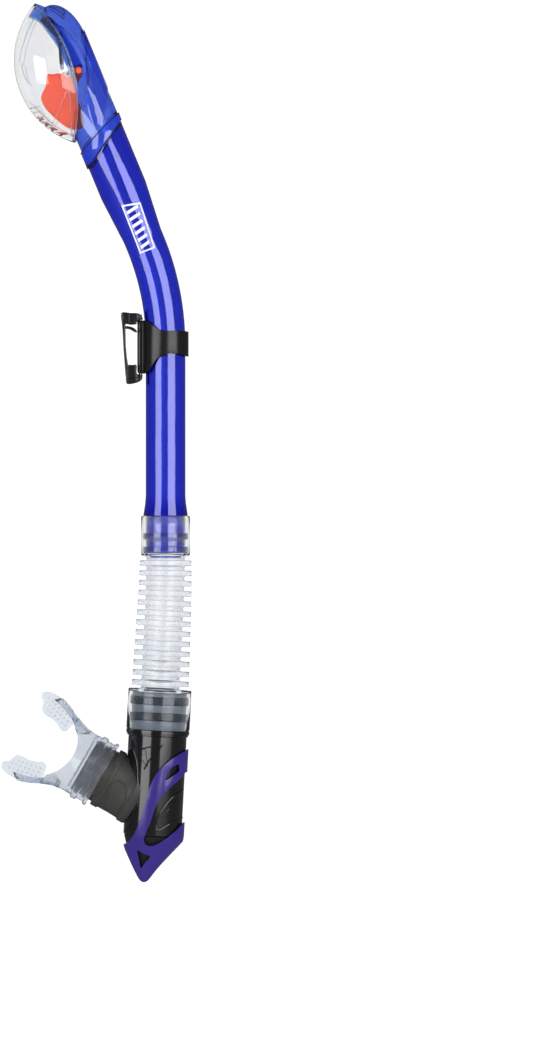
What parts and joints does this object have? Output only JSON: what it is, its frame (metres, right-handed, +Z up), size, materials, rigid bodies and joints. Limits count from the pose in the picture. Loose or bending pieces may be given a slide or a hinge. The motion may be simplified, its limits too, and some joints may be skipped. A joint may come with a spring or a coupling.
{
  "type": "snorkel tube",
  "caption": "Dry-top snorkel: bent tube, float-valve head, ribbed flexible hose, purge chamber with guard, swivelling mouthpiece and sliding mask-strap keeper.",
  "frame": {"origin": "on the tube's axis where its bend starts, inside the strap keeper's band", "axes": "+Z up along the tube's straight lower length; +X towards the back of the head valve, away from the mouthpiece; +Y across the snorkel's plane of symmetry"},
  "size_m": [0.1049, 0.0434, 0.4835],
  "materials": {
    "tube_blue": "translucent royal blue, polished",
    "shell_blue": "translucent blue, polished",
    "gasket_blue": "matt",
    "dome_clear": "clear moulded polycarbonate",
    "float_orange": "satin orange-red",
    "pin_steel": "stainless steel pin",
    "roller_white": "satin white",
    "black_plastic": "black",
    "seal_silicone": "soft silicone",
    "clear_silicone": "clear soft silicone",
    "chamber_black": "polished black",
    "elbow_grey": "fine matt texture",
    "guard_violet": "satin violet blue",
    "keeper_black": "satin black"
  },
  "bodies": {
    "tube": {"upper_tube": "tube_blue", "head_shell": "shell_blue", "head_gasket": "gasket_blue", "dome": "dome_clear", "valve_housing": "shell_blue", "float_pin": "pin_steel", "flap_pin": "pin_steel", "flex_hose": "clear_silicone"},
    "float": {"float": "float_orange", "float_rollers": "roller_white", "roller_pins": "black_plastic"},
    "flap": {"valve_flap": "black_plastic", "flap_seal": "seal_silicone"},
    "keeper": {"keeper_band": "keeper_black", "loop_pin": "black_plastic"},
    "strap_loop": {"strap_loop": "keeper_black"},
    "chamber": {"purge_chamber": "chamber_black", "mouth_elbow": "elbow_grey", "port_seal": "gasket_blue", "purge_guard": "guard_violet", "purge_seat": "black_plastic"},
    "purge_disc": {"purge_valve": "seal_silicone"},
    "mouthpiece": {"mouthpiece": "clear_silicone"}
  },
  "joints": [
    {"name": "float_pivot", "type": "hinge", "parent": "tube", "child": "float", "pos_m": [-0.0475, 0, 0.14971], "axis": [0, 1, 0], "range_deg": [0, 30]},
    {"name": "flap_pivot", "type": "hinge", "parent": "tube", "child": "flap", "pos_m": [-0.05825, 0, 0.16609], "axis": [0, 1, 0], "range_deg": [-12, 0]},
    {"name": "keeper_slide", "type": "slide", "parent": "tube", "child": "keeper", "axis": [0, 0, 1], "range_m": [-0.055, 0]},
    {"name": "loop_pivot", "type": "hinge", "parent": "keeper", "child": "strap_loop", "pos_m": [-0.0139, 0, 0], "axis": [0, 0, 1], "range_deg": [-35, 35]},
    {"name": "hose_flex", "type": "hinge", "parent": "tube", "child": "chamber", "pos_m": [-0.0013, 0, -0.155], "axis": [0, 1, 0], "range_deg": [-30, 30], "stiffness_Nm_per_rad": 0.4, "deforming": ["flex_hose"]},
    {"name": "mouthpiece_swivel", "type": "hinge", "parent": "chamber", "child": "mouthpiece", "pos_m": [-0.00639, 0, -0.25293], "axis": [-0.866, 0, 0.5], "continuous": true},
    {"name": "purge_lift", "type": "slide", "parent": "chamber", "child": "purge_disc", "axis": [-0.0523, 0, -0.9986], "range_m": [0, 0.0012], "stiffness_N_per_m": 50}
  ],
  "couplings": [
    {"joint": "flap_pivot", "follows": "float_pivot", "ratio": -0.4}
  ]
}
